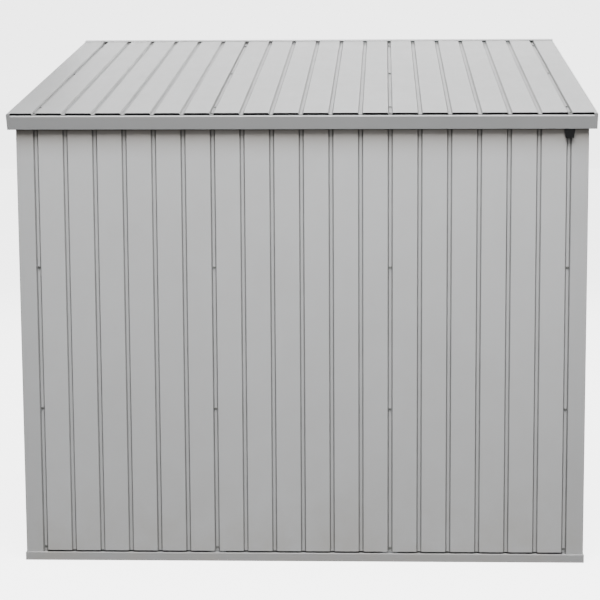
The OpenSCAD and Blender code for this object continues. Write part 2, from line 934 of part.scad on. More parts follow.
// Slotted arm, drawn along +y from its pivot
module stay_arm_shape() {
    slot_r = stay_pin_r + 0.6;
    from = stay_start - 0.5;
    to = stay_end + 0.5;
    difference() {
        union() {
            stay_rod(0, stay_t, stay_w / 2);
            translate([0, to, 0]) stay_rod(0, stay_t, stay_w / 2);
            translate([0, 0, -stay_w / 2]) cube([stay_t, to, stay_w]);
        }
        stay_rod(-1, stay_t + 1, stay_pin_r + pin_gap);
        translate([0, from, 0]) stay_rod(-1, stay_t + 1, slot_r);
        translate([0, to, 0]) stay_rod(-1, stay_t + 1, slot_r);
        translate([-1, from, -slot_r]) cube([stay_t + 2, to - from, 2 * slot_r]);
    }
}

module stay_arm(left) {
    color(zinc)
    mirror([left ? 0 : 1, 0, 0])
        at_left_stay(pivot_u, pivot_n)
            translate([arm_in, 0, 0]) rotate([stay_angle, 0, 0]) stay_arm_shape();
}

base_rail("front");  // base_rail_front
base_rail("back");  // base_rail_back
base_rail("left");  // base_rail_left
base_rail("right");  // base_rail_right
floor_joists();
floor_sheet(0);  // floor_sheet_left
floor_sheet(1);  // floor_sheet_centre
floor_sheet(2);  // floor_sheet_right
corner_post(true, true);  // corner_post_front_left
corner_post(true, false);  // corner_post_front_right
corner_post(false, true);  // corner_post_back_left
corner_post(false, false);  // corner_post_back_right
front_studs();
back_studs();
side_studs();
front_sheet(0);  // front_sheet_left
front_sheet(1);  // front_sheet_centre
front_sheet(2);  // front_sheet_right
back_sheet(2);  // back_sheet_left
back_sheet(1);  // back_sheet_centre
back_sheet(0);  // back_sheet_right
side_sheet("left", 1);  // left_sheet_front
side_sheet("left", 0);  // left_sheet_back
side_sheet("right", 0);  // right_sheet_front
side_sheet("right", 1);  // right_sheet_back
cross_top_rail("front", wall_top_front);  // top_rail_front
cross_top_rail("back", rail_top_back);  // top_rail_back
sloping_top_rail(true);  // top_rail_left
sloping_top_rail(false);  // top_rail_right
wall_screw_set("front");  // front_screws
wall_screw_set("back");  // back_screws
wall_screw_set("left");  // left_screws
wall_screw_set("right");  // right_screws
lid_buffer_strip();
hinge_body_leaves();
hinge_pins();
hinge_body_screws();
stay_wall_brackets();
stay_studs();
lid_sheet(0);  // lid_sheet_left
lid_sheet(1);  // lid_sheet_centre
lid_sheet(2);  // lid_sheet_right
lid_front_trim();
lid_back_trim();
lid_side_trim(true);  // lid_side_trim_left
lid_side_trim(false);  // lid_side_trim_right
lid_rail(true);  // lid_rail_left
lid_rail(false);  // lid_rail_right
lid_cross_rails();
lid_screws();
lid_filler_blocks();
hinge_lid_leaves();
hinge_lid_screws();
stay_lid_brackets();
stay_pivots();
lid_catch();
stay_arm(true);  // stay_arm_left
stay_arm(false);  // stay_arm_right
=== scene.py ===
# Deck storage box: folded, coated sheet steel and its fittings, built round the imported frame.
# Everything is in metres, and every place comes from the frame.
import math

import bmesh
import bpy
from mathutils import Matrix, Vector


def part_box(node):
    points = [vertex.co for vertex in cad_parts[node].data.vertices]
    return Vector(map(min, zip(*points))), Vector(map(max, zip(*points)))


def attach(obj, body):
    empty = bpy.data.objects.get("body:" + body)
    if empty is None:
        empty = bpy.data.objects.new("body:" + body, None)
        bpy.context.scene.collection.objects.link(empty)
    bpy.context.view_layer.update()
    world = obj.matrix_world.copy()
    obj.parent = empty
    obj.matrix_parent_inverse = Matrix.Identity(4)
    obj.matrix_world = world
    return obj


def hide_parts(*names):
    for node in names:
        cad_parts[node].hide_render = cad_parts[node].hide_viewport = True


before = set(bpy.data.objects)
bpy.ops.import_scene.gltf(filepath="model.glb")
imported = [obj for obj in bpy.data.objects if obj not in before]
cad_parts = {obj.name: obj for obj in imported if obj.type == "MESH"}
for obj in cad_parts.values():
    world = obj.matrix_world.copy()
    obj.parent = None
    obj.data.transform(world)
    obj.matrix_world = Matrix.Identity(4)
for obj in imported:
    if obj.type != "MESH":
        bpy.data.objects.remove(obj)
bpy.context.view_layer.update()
print("frame loaded:", len(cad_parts), "nodes")

mm = 0.001
hair = 0.1 * mm          # slack for picking vertices at an exact place
slack = 1 * mm           # slack for picking vertices near a place
quarter = math.pi / 2


# small helpers

def objectMode():
    if bpy.context.mode != "OBJECT":
        bpy.ops.object.mode_set(mode="OBJECT")


def onlySelect(*pieces):
    objectMode()
    bpy.ops.object.select_all(action="DESELECT")
    for piece in pieces:
        piece.select_set(True)
        bpy.context.view_layer.objects.active = piece


def newPiece(name):
    # takes the primitive that was just added into edit mode, with nothing selected
    piece = bpy.context.object
    piece.name = name
    piece.data.name = name
    bpy.ops.object.mode_set(mode="EDIT")
    bpy.ops.mesh.select_all(action="DESELECT")
    return piece


def pick(piece, kind, test):
    # selects the vertices, edges or faces of the piece in edit mode that pass the test
    bpy.ops.mesh.select_all(action="DESELECT")
    bpy.ops.mesh.select_mode(type=kind)
    mesh = bmesh.from_edit_mesh(piece.data)
    parts = {"VERT": mesh.verts, "EDGE": mesh.edges, "FACE": mesh.faces}[kind]
    for part in parts:
        if test(part):
            part.select_set(True)
    mesh.select_flush_mode()
    bmesh.update_edit_mesh(piece.data)


def finishWith(piece, kind, **settings):
    onlySelect(piece)
    modifier = piece.modifiers.new(kind.title(), kind)
    for key, value in settings.items():
        setattr(modifier, key, value)
    bpy.ops.object.modifier_apply(modifier=modifier.name)


def smoothed(piece, angle=35):
    onlySelect(piece)
    bpy.ops.object.shade_smooth_by_angle(angle=math.radians(angle))
    finishWith(piece, "WEIGHTED_NORMAL", keep_sharp=True, weight=80)


def place(piece, matrix):
    onlySelect(piece)
    piece.matrix_world = matrix
    bpy.ops.object.transform_apply(location=True, rotation=True, scale=True)


def cutAway(piece, point, normal):
    # removes what lies beyond a plane
    onlySelect(piece)
    bpy.ops.object.mode_set(mode="EDIT")
    bpy.ops.mesh.select_all(action="SELECT")
    bpy.ops.mesh.bisect(plane_co=point, plane_no=normal, clear_outer=True)
    objectMode()


def joined(first, *others):
    onlySelect(*others, first)
    bpy.ops.object.join()
    return first


def finished(piece, body, finish, slot, *nodes):
    piece.data.materials.clear()
    piece.data.materials.append(finish)
    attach(piece, body)
    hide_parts(*nodes)
    return piece


# frames: x runs along a wall or across the lid, and a strip's face looks along its z

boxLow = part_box("corner_post_front_left")[0]
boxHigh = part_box("corner_post_back_right")[1]
boxWidth = boxHigh.x - boxLow.x
boxDepth = boxHigh.y - boxLow.y
middleY = (boxLow.y + boxHigh.y) / 2


def turned(angle, axis):
    return Matrix.Rotation(angle, 4, axis)


wallFrames = {
    "front": Matrix.Translation((0, boxLow.y, 0)),
    "back": Matrix.Translation((0, boxHigh.y, 0)) @ turned(math.pi, "Z"),
    "left": Matrix.Translation((boxLow.x, middleY, 0)) @ turned(-quarter, "Z"),
    "right": Matrix.Translation((boxHigh.x, middleY, 0)) @ turned(quarter, "Z"),
}
standing = turned(quarter, "X")
sideways = turned(quarter, "Z")


def lidPlane():
    # the widest face of a lid sheet gives the slope and height of the lid's top
    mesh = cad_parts["lid_sheet_centre"].data
    face = max((f for f in mesh.polygons if f.normal.z > 0.5), key=lambda f: f.area)
    slope = math.atan2(-face.normal.y, face.normal.z)
    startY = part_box("lid_front_trim")[0].y
    point = mesh.vertices[face.vertices[0]].co
    startZ = point.z + (point.y - startY) * face.normal.y / face.normal.z
    return slope, Vector((0, startY, startZ))


lidSlope, lidStart = lidPlane()
lidFrame = Matrix.Translation(lidStart) @ turned(lidSlope, "X")
lidNormal = lidFrame.to_3x3() @ Vector((0, 0, 1))
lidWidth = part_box("lid_front_trim")[1].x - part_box("lid_front_trim")[0].x


def lidExtent(node):
    # lowest and highest corner of a CAD node in the lid's own frame
    back = lidFrame.inverted()
    points = [back @ v.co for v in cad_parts[node].data.vertices]
    return (
        Vector([min(p[i] for p in points) for i in range(3)]),
        Vector([max(p[i] for p in points) for i in range(3)]),
    )


sheetStart = lidExtent("lid_sheet_centre")[0].y
lidLength = lidExtent("lid_sheet_centre")[1].y

ribs = {
    "width": 12 * mm,          # at the face
    "floor": 6.8 * mm,         # width at the bottom
    "depth": 4.5 * mm,
    "lap": 0.85 * mm,          # how much deeper the lower sheet lies where two lap
    "lapGap": 0.05 * mm,       # between a sheet and the post or trim that it laps
    "edgeGap": 0.3 * mm,       # from a sheet's edge to the flank of the rib that it ends in
    "sheet": 0.8 * mm,
    "bend": 1.1 * mm,
    "frontCount": 18,          # gaps between ribs
    "sideCount": 10,
    "firstRib": 47 * mm,       # from a corner of the box to its first rib
    "wallGap": 14 * mm,        # from the lid's top to the top of the walls
}
frontPitch = (boxWidth - 2 * ribs["firstRib"]) / ribs["frontCount"]
sidePitch = (boxDepth - 2 * ribs["firstRib"]) / ribs["sideCount"]


# folded sheet metal

def foldStrip(name, path, start, end, bend, corner=0):
    # path holds (x, depth) points, the folds run along y and the face looks along z
    onlySelect()
    bpy.ops.mesh.primitive_plane_add(size=1)
    piece = newPiece(name)
    pick(piece, "VERT", lambda v: v.co.x > 0)
    bpy.ops.mesh.delete(type="VERT")
    bpy.ops.mesh.select_all(action="SELECT")
    bpy.ops.transform.translate(value=(0.5 + path[0][0], 0.5, -path[0][1]))
    bpy.ops.transform.resize(value=(1, end - start, 1), center_override=(0, 0, 0))
    bpy.ops.transform.translate(value=(0, start, 0))
    for (x0, d0), (x1, d1) in zip(path, path[1:]):
        bpy.ops.mesh.extrude_region_move(TRANSFORM_OT_translate={"value": (x1 - x0, 0, d0 - d1)})
    mesh = bmesh.from_edit_mesh(piece.data)
    mesh.normal_update()
    outward = Vector((path[1][1] - path[0][1], 0, path[1][0] - path[0][0]))
    first = min(mesh.faces, key=lambda f: (f.calc_center_median() - middleOf(path)).length)
    if first.normal.dot(outward) < 0:
        bpy.ops.mesh.select_all(action="SELECT")
        bpy.ops.mesh.flip_normals()
    if corner:
        pick(piece, "EDGE", lambda e: foldAngle(e) > math.radians(75))
        bpy.ops.mesh.bevel(offset=corner, segments=4, affect="EDGES")
    pick(piece, "EDGE", lambda e: foldAngle(e) > math.radians(40))
    bpy.ops.mesh.bevel(offset=bend, segments=3, affect="EDGES")
    objectMode()
    return piece


def middleOf(path):
    return Vector(((path[0][0] + path[1][0]) / 2, 0, -(path[0][1] + path[1][1]) / 2))


def foldAngle(edge):
    return edge.calc_face_angle(0) if len(edge.link_faces) == 2 else 0


def thickened(piece, thickness):
    finishWith(piece, "SOLIDIFY", thickness=thickness, offset=-1, use_even_offset=True)
    smoothed(piece)


def sheetPath(gaps, pitch, lapped):
    # a sheet starts and ends in the floor of a rib, and its last floor may lie under the next
    half = ribs["floor"] / 2
    wide = ribs["width"] / 2
    deep = ribs["depth"]
    run = gaps * pitch
    path = [(-half + ribs["edgeGap"], deep), (half, deep), (wide, 0)]
    for k in range(1, gaps):
        x = k * pitch
        path += [(x - wide, 0), (x - half, deep), (x + half, deep), (x + wide, 0)]
    last = deep + ribs["lap"] if lapped else deep
    return path + [(run - wide, 0), (run - half, last), (run + half - ribs["edgeGap"], last)]


def ribbedSheet(node, matrix, count, index, gaps, pitch, start, end):
    perSheet = gaps // count
    path = sheetPath(perSheet, pitch, index < count - 1)
    piece = foldStrip(node + "_folded", path, start, end, ribs["bend"])
    place(piece, matrix @ Matrix.Translation(((index * perSheet - gaps / 2) * pitch, 0, 0)))
    return piece


# materials

class Value:
    # wraps a socket, so that plain maths on it adds Math nodes
    def __init__(self, tree, socket):
        self.tree = tree
        self.socket = socket

    def maths(self, operation, first, second):
        node = self.tree.nodes.new("ShaderNodeMath")
        node.operation = operation
        connect(self.tree, node.inputs[0], first)
        connect(self.tree, node.inputs[1], second)
        return Value(self.tree, node.outputs[0])

    def __add__(self, other):
        return self.maths("ADD", self, other)

    def __radd__(self, other):
        return self.maths("ADD", other, self)

    def __sub__(self, other):
        return self.maths("SUBTRACT", self, other)

    def __rsub__(self, other):
        return self.maths("SUBTRACT", other, self)

    def __mul__(self, other):
        return self.maths("MULTIPLY", self, other)

    def __rmul__(self, other):
        return self.maths("MULTIPLY", other, self)

    def __pow__(self, other):
        return self.maths("POWER", self, other)


def connect(tree, socket, value):
    if isinstance(value, Value):
        tree.links.new(value.socket, socket)
    else:
        socket.default_value = value


class Finish:
    # one material and its nodes
    def __init__(self, name):
        self.material = bpy.data.materials.new(name)
        self.material.use_nodes = True
        self.tree = self.material.node_tree
        self.tree.nodes.clear()
        self.place = self.node("TexCoord", {}, {}, "Object")

    def node(self, kind, settings, inputs, output=0):
        node = self.tree.nodes.new("ShaderNode" + kind)
        for key, value in settings.items():
            if key == "stops":
                while len(node.color_ramp.elements) < len(value):
                    node.color_ramp.elements.new(0.5)
                for element, (position, colour) in zip(node.color_ramp.elements, value):
                    element.position = position
                    element.color = (*colour, 1)
            else:
                setattr(node, key, value)
        for key, value in inputs.items():
            connect(self.tree, node.inputs[key], value)
        return Value(self.tree, node.outputs[output])

    def stretched(self, scale):
        return self.node("Mapping", {}, {"Vector": self.place, "Scale": scale})

    def noise(self, scale, detail=2, rough=0.5, vector=None):
        inputs = {"Vector": vector or self.place, "Scale": scale, "Detail": detail, "Roughness": rough}
        return self.node("TexNoise", {}, inputs)

    def ramp(self, value, *stops):
        return self.node("ValToRGB", {"stops": stops}, {"Fac": value})

    def within(self, value, low, high, to0=0, to1=1):
        inputs = {"Value": value, "From Min": low, "From Max": high, "To Min": to0, "To Max": to1}
        return self.node("MapRange", {}, inputs)

    def mixed(self, share, first, second):
        node = self.tree.nodes.new("ShaderNodeMix")
        node.data_type = "RGBA"
        connect(self.tree, node.inputs[0], share)
        connect(self.tree, node.inputs[6], first)
        connect(self.tree, node.inputs[7], second)
        return Value(self.tree, node.outputs[2])

    def part(self, axis):
        return self.node("SeparateXYZ", {}, {"Vector": self.place}, axis)

    def bump(self, height, distance, strength=1, normal=None):
        inputs = {"Height": height, "Distance": distance, "Strength": strength}
        if normal:
            inputs["Normal"] = normal
        return self.node("Bump", {}, inputs)

    def shade(self, **inputs):
        names = {key.replace("_", " "): value for key, value in inputs.items()}
        return self.surface(self.node("BsdfPrincipled", {}, names))

    def surface(self, shader):
        out = self.tree.nodes.new("ShaderNodeOutputMaterial")
        self.tree.links.new(shader.socket, out.inputs["Surface"])
        return self.material


def rgb(level, warm=0.0):
    # a grey of this level, a little warmer or cooler
    return (level * (1 + warm), level, level * (1 - warm), 1)


coatedSteel = {
    "colour": 0.50,
    "worn": 0.46,
    "dust": (0.40, 0.375, 0.335, 1),
    "gloss": (0.36, 0.47),
    "waves": 1.1 * mm,         # slow waviness of the sheet
    "streaks": 0.03 * mm,      # rolling marks
    "peel": 0.02 * mm,         # grain of the coating
    "splash": 300 * mm,        # how high the dust from the ground reaches
    # painted shade along the ribs: its colour, then its shares on the walls and on the lid
    "foldShade": (0.045, 0.044, 0.042, 1),
    "wallFoldShade": (0.13, 0.68),  # share of painted shade in a rib's floor and on its flanks
    "lidFoldShade": (0.30, 0.76),
    "flankFade": 1 * mm,       # from the floor's share to the flanks'
    "faceFade": (0.7 * mm, -0.4 * mm),  # from none to all of it, from the edge of the rib
    # painted shadow below the lid's edge: its colour, where it starts and how it fades
    "eavesShadow": (0.135, 0.102, 0.066, 1),
    "eavesStart": 4 * mm,      # above the lower edge of the lid's front trim
    "eavesDepth": 78 * mm,     # how far it reaches down from there
    "eavesFade": 1.7,
}


def foldShade(finish, axis, middle, pitch, share):
    # painted shade on both sides of a rib, broken up with noise so that it looks like dirt, measured
    # from the middle of the nearest rib
    along = finish.part(axis) - middle
    away = along.maths("PINGPONG", along, pitch / 2)
    inFloor, onFlanks = share
    foot = ribs["floor"] / 2
    inner = finish.within(away, foot - coatedSteel["flankFade"], foot, inFloor, onFlanks)
    outer = finish.within(away, *[ribs["width"] / 2 + fade for fade in coatedSteel["faceFade"]])
    uneven = finish.within(finish.noise(9, 5, 0.65), 0.25, 0.6, 0.82, 1)
    return inner * outer * uneven


def eavesShadow(finish):
    # painted shadow below the lid's edge, tinted brown, by depth below the lid's top face
    product = {"operation": "DOT_PRODUCT"}
    above = finish.node("VectorMath", product, {0: finish.place, 1: lidNormal}, "Value")
    depth = lidStart.dot(lidNormal) - above
    edge = -lidExtent("lid_front_trim")[0].z - coatedSteel["eavesStart"]
    share = finish.within(depth, edge + coatedSteel["eavesDepth"], edge) ** coatedSteel["eavesFade"]
    return share * finish.within(finish.noise(11, 4, 0.6), 0.2, 0.6, 0.76, 0.9)


def makeCoatedSteel(name, along, tone=1.0, folds=(), eaves=False):
    # along is the direction that the sheets were rolled in, as scales of x, y and z
    finish = Finish(name)
    streaks = finish.noise(60, 3, 0.6, finish.stretched(along))
    cloud = finish.noise(2.2, 4, 0.55)
    patches = finish.noise(14, 5, 0.6)
    scuffs = finish.noise(420, 2, 0.7)
    tones = rgb(coatedSteel["colour"] * tone, -0.009), rgb(coatedSteel["worn"] * tone, -0.003)
    colour = finish.mixed(finish.within(cloud * 0.6 + patches * 0.4, 0.35, 0.7), *tones)
    lowDown = finish.within(finish.part("Z"), coatedSteel["splash"], 0) ** 2
    dirt = lowDown * finish.within(patches, 0.3, 0.75) * 0.55
    colour = finish.mixed(dirt, colour, coatedSteel["dust"])
    # painted shadow below the lid's edge
    if eaves:
        colour = finish.mixed(eavesShadow(finish), colour, coatedSteel["eavesShadow"])
    # painted shade along the ribs
    for fold in folds:
        colour = finish.mixed(foldShade(finish, *fold), colour, coatedSteel["foldShade"])
    rubbed = streaks * 0.5 + patches * 0.3 + scuffs * 0.2
    gloss = finish.within(rubbed, 0.3, 0.7, *coatedSteel["gloss"])
    waves = finish.noise(5, 1, 0.4, finish.stretched(along))
    normal = finish.bump(waves, coatedSteel["waves"])
    normal = finish.bump(streaks, coatedSteel["streaks"], 1, normal)
    normal = finish.bump(finish.noise(1100, 2, 0.55), coatedSteel["peel"], 1, normal)
    return finish.shade(
        Base_Color=colour, Roughness=gloss + dirt * 0.3, Normal=normal,
        Coat_Weight=0.18, Coat_Roughness=0.22, IOR=1.5,
    )


def makeGalvanised(name):
    finish = Finish(name)
    warp = finish.node("VectorMath", {"operation": "MULTIPLY_ADD"}, {
        0: finish.node("TexNoise", {}, {"Vector": finish.place, "Scale": 60, "Detail": 2}, "Color"),
        1: (0.006, 0.006, 0.006), 2: finish.place,
    })
    spangle = finish.node("TexVoronoi", {}, {"Vector": warp, "Scale": 120}, "Color")
    tone = finish.node("SeparateColor", {}, {"Color": spangle}, "Red")
    tint = finish.node("SeparateColor", {}, {"Color": spangle}, "Green")
    grain = finish.noise(700, 3, 0.6)
    colour = finish.ramp(tone * 0.8 + grain * 0.2, (0.1, (0.40, 0.41, 0.42)), (0.9, (0.60, 0.61, 0.62)))
    stain = finish.within(finish.noise(9, 5, 0.65), 0.52, 0.72)
    colour = finish.mixed(stain * 0.5, colour, (0.62, 0.62, 0.60, 1))
    normal = finish.bump(grain * 0.4 + tint * 0.6, 0.00004)
    return finish.shade(
        Base_Color=colour, Metallic=0.9 - stain * 0.35, Roughness=0.30 + tint * 0.16 + stain * 0.2,
        Normal=normal,
    )


def makeZincPlate(name, darkening=0.0):
    # the last argument is how far the plating is darkened to dark grey, as painted shade for the
    # shadows round the screw heads
    finish = Finish(name)
    brushed = finish.noise(500, 3, 0.6, finish.stretched((0.08, 1, 1)))
    cloud = finish.noise(55, 4, 0.6)
    colour = finish.ramp(
        cloud, (0.3, (0.50, 0.515, 0.53)), (0.55, (0.60, 0.60, 0.585)), (0.75, (0.56, 0.545, 0.50))
    )
    colour = finish.mixed(darkening, colour, (0.13, 0.13, 0.125, 1))
    wear = finish.within(finish.noise(160, 3, 0.7), 0.6, 0.75)
    return finish.shade(
        Base_Color=finish.mixed(wear * 0.4, colour, (0.36, 0.36, 0.355, 1)),
        Metallic=0.95 - wear * 0.2, Roughness=0.24 + brushed * 0.14 + wear * 0.15 + darkening * 0.1,
        Normal=finish.bump(brushed, 0.00002),
    )


def makeRubber(name):
    finish = Finish(name)
    grain = finish.noise(1500, 3, 0.6)
    bloom = finish.within(finish.noise(30, 4, 0.6), 0.45, 0.8)
    return finish.shade(
        Base_Color=finish.mixed(bloom * 0.5, (0.006, 0.006, 0.0065, 1), (0.018, 0.018, 0.0175, 1)),
        Roughness=0.62 + bloom * 0.18, Normal=finish.bump(grain, 0.00006), Specular_IOR_Level=0.15,
    )


# axis across the ribs, place of the middle rib, pitch and share of painted shade
wallFolds = (
    (0, 0, frontPitch, coatedSteel["wallFoldShade"]),
    (1, middleY, sidePitch, coatedSteel["wallFoldShade"]),
)
lidFolds = ((0, 0, frontPitch, coatedSteel["lidFoldShade"]),)
wallSteel = makeCoatedSteel("coated_steel_walls", (1, 1, 0.04), 1.0, wallFolds, True)
# the lid's copy of the steel is toned darker, painted shade that offsets the top light; the trims' copy
# is darker still, painted shade for the base rails and the front trim, which faces a little downwards
lidSteel = makeCoatedSteel("coated_steel_lid", (1, 0.04, 1), 0.67, lidFolds)
trimSteel = makeCoatedSteel("coated_steel_trims", (0.04, 1, 1), 0.77)
postSteel = makeCoatedSteel("coated_steel_posts", (1, 1, 0.04), 0.9, wallFolds, True)
galvanised = makeGalvanised("galvanised_steel")
zincPlate = makeZincPlate("zinc_plated_steel")
# the screws are darkened as painted shade for the shadows round their heads
screwZinc = makeZincPlate("shade_darkened_screws", 0.75)
rubber = makeRubber("black_rubber")
print("materials made")


# walls

def wallSheet(node, side, count, index, gaps, pitch, sloped=False):
    bottom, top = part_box(node)[0].z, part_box(node)[1].z
    piece = ribbedSheet(node, wallFrames[side] @ standing, count, index, gaps, pitch, bottom, top)
    if sloped:
        cutAway(piece, lidStart - lidNormal * ribs["wallGap"], lidNormal)
    thickened(piece, ribs["sheet"])
    return finished(piece, "box", wallSteel, "sheet", node)


for index, name in enumerate(("left", "centre", "right")):
    wallSheet("front_sheet_" + name, "front", 3, index, ribs["frontCount"], frontPitch)
    wallSheet("back_sheet_" + name, "back", 3, 2 - index, ribs["frontCount"], frontPitch)
for side, order in (("left", ("back", "front")), ("right", ("front", "back"))):
    for index, name in enumerate(order):
        node = side + "_sheet_" + name
        wallSheet(node, side, 2, index, ribs["sideCount"], sidePitch, True)
print("wall sheets folded")


# corner posts

post = {"thickness": 1 * mm, "bend": 1.1 * mm, "corner": 2.2 * mm}


def cornerPost(node, x, y, turn):
    deep = ribs["depth"] + ribs["sheet"] + ribs["lapGap"]
    near = ribs["firstRib"] - ribs["width"] / 2
    inner = ribs["firstRib"] - ribs["floor"] / 2
    far = ribs["firstRib"] + ribs["floor"] / 2 - ribs["edgeGap"]
    path = [(deep, far), (deep, inner), (0, near), (0, 0), (near, 0), (inner, deep), (far, deep)]
    bottom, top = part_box(node)[0].z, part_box(node)[1].z
    piece = foldStrip(node + "_folded", path, bottom, top, post["bend"], post["corner"])
    place(piece, Matrix.Translation((x, y, 0)) @ turned(turn * quarter, "Z") @ standing)
    cutAway(piece, lidStart - lidNormal * ribs["wallGap"], lidNormal)
    thickened(piece, post["thickness"])
    return finished(piece, "box", postSteel, "trim", node)


cornerPost("corner_post_front_left", boxLow.x, boxLow.y, 0)
cornerPost("corner_post_front_right", boxHigh.x, boxLow.y, 1)
cornerPost("corner_post_back_right", boxHigh.x, boxHigh.y, 2)
cornerPost("corner_post_back_left", boxLow.x, boxHigh.y, 3)
print("corner posts folded")


# lid sheets and trims

for index, name in enumerate(("left", "centre", "right")):
    node = "lid_sheet_" + name
    piece = ribbedSheet(node, lidFrame, 3, index, ribs["frontCount"], frontPitch, sheetStart, lidLength)
    thickened(piece, ribs["sheet"])
    finished(piece, "lid", lidSteel, "sheet", node)

lidTrim = {
    "thickness": 1 * mm,
    "bend": 1.1 * mm,
    "corner": 1.8 * mm,
    "sideCorner": 3 * mm,
    "hem": 6 * mm,
    "hemGap": 0.2 * mm,     # between the front trim's hem and the side trims'
    "ear": 9 * mm,          # width of the front trim's closed ends
    "notchGap": 0.3 * mm,   # between an ear and the side trim's top
    "earLap": 1.5 * mm,     # how far an ear reaches down behind the front's bend
    "shoulder": 2.6 * mm,   # full width of the flanges next to a fold, past its bend
    "sideGap": 1.2 * mm,    # what the flanges leave free for the side trims
    "lip": 20 * mm,         # width of the back trim's upper lip
}


def sideTrim(node, left):
    edge, outer = lidExtent(node)
    drop = -edge.z
    middle = ribs["firstRib"] + (lidWidth - boxWidth) / 2
    deep = ribs["depth"] + ribs["sheet"] + ribs["lapGap"]
    notch = lidTrim["ear"]
    path = [
        (lidTrim["hem"], drop), (0, drop), (0, 0), (notch, 0), (notch + lidTrim["notchGap"], 0),
        (middle - ribs["width"] / 2, 0), (middle - ribs["floor"] / 2, deep),
        (middle + ribs["floor"] / 2 - ribs["edgeGap"], deep),
    ]
    if not left:
        path = [(-x, depth) for x, depth in reversed(path)]
    piece = foldStrip(
        node + "_folded", path, edge.y, outer.y, lidTrim["bend"], lidTrim["sideCorner"]
    )
    # the top stops where the sheets start
    onlySelect(piece)
    bpy.ops.object.mode_set(mode="EDIT")
    pick(piece, "VERT", lambda v: v.co.y < edge.y + slack and abs(v.co.x) > notch + 2 * hair)
    bpy.ops.transform.translate(value=(0, sheetStart - edge.y, 0))
    place(piece, lidFrame @ Matrix.Translation((lidWidth / 2 * (-1 if left else 1), 0, 0)))
    thickened(piece, lidTrim["thickness"])
    return finished(piece, "lid", lidSteel, "trim", node)


sideTrim("lid_side_trim_left", True)
sideTrim("lid_side_trim_right", False)


def narrowEnds(piece, amount, test):
    # draws both ends of a flange in
    for side in (-1, 1):
        pick(piece, "VERT", lambda v: v.co.y * side > lidWidth * 0.49 and test(v.co))
        bpy.ops.transform.translate(value=(0, -side * amount, 0))


def crossTrim(node, path, narrow):
    # folds run across the lid; x of the path goes up the slope
    shifted = [(u, -n) for u, n in path]
    piece = foldStrip(
        node + "_folded", shifted, -lidWidth / 2, lidWidth / 2, lidTrim["bend"], lidTrim["corner"]
    )
    onlySelect(piece)
    bpy.ops.object.mode_set(mode="EDIT")
    for amount, test in narrow:
        narrowEnds(piece, amount, test)
    place(piece, lidFrame @ sideways)
    return piece


def frontTrim():
    node = "lid_front_trim"
    edge, outer = lidExtent(node)
    drop = edge.z
    top = lidExtent("lid_rail_left")[1].z
    reach = outer.y
    near = lidTrim["shoulder"]
    path = [
        (lidTrim["hem"], drop), (near, drop), (0, drop), (0, top), (near, top), (reach, top),
    ]
    piece = crossTrim(node, path, (
        (lidTrim["sideGap"], lambda p: p.x > near - hair and p.z > top - slack),
        (lidTrim["hem"] + lidTrim["hemGap"], lambda p: p.x > near - hair and p.z < drop + slack),
    ))
    thickened(piece, lidTrim["thickness"])
    ears = [frontEar(side, top) for side in (-1, 1)]
    return finished(joined(piece, *ears), "lid", trimSteel, "trim", node)


def frontEar(side, top):
    # closes the end of the front trim up to the lid's top face
    wide = lidTrim["ear"]
    onlySelect()
    bpy.ops.mesh.primitive_plane_add(size=1)
    ear = newPiece("front_ear")
    bpy.ops.mesh.select_all(action="SELECT")
    bottom = top - lidTrim["earLap"]
    bpy.ops.transform.resize(value=(wide, -bottom, 1))
    bpy.ops.transform.translate(value=(side * (lidWidth - wide) / 2, bottom / 2, 0))
    pick(ear, "VERT", lambda v: v.co.y > -hair and abs(v.co.x) > lidWidth / 2 - slack)
    bpy.ops.mesh.bevel(offset=lidTrim["sideCorner"], segments=4, affect="VERTICES")
    bpy.ops.mesh.select_all(action="SELECT")
    bpy.ops.mesh.extrude_region_move(TRANSFORM_OT_translate={"value": (0, 0, -lidTrim["thickness"])})
    bpy.ops.mesh.select_all(action="SELECT")
    bpy.ops.mesh.normals_make_consistent(inside=False)
    objectMode()
    place(ear, lidFrame @ standing)
    smoothed(ear)
    return ear


frontTrim()


def backTrim():
    node = "lid_back_trim"
    edge, outer = lidExtent(node)
    top, bottom = outer.z, edge.z
    end = outer.y
    near = end - lidTrim["shoulder"]
    path = [
        (lidLength - lidTrim["lip"], top), (end, top), (end, bottom), (near, bottom), (edge.y, bottom),
    ]
    piece = crossTrim(node, path, (
        (lidTrim["sideGap"], lambda p: p.x < near + hair and p.z < bottom + slack),
    ))
    thickened(piece, lidTrim["thickness"])
    return finished(piece, "lid", trimSteel, "trim", node)


backTrim()
print("lid sheets and trims folded")


# screws

screw = {
    "flange": 3.2 * mm,          # radius of the washer
    "flangeHeight": 0.6 * mm,
    "hex": 2.55 * mm,            # radius of the hexagon over its corners
    "height": 2.2 * mm,
    "spin": 1.1,                 # turn from one head to the next
}


def islands(node, matrix):
    # lowest and highest corner of every separate solid of a CAD node, in another frame
    mesh = bmesh.new()
    mesh.from_mesh(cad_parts[node].data)
    bmesh.ops.remove_doubles(mesh, verts=mesh.verts, dist=0.01 * mm)
    left = set(mesh.verts)
    found = []
    for seed in mesh.verts:
        if seed not in left:
            continue
        left.discard(seed)
        group = [seed]
        for vert in group:
            for link in vert.link_edges:
                other = link.other_vert(vert)
                if other in left:
                    left.discard(other)
                    group.append(other)
        points = [matrix @ v.co for v in group]
        found.append([Vector([f(p[i] for p in points) for i in range(3)]) for f in (min, max)])
    mesh.free()
    return found


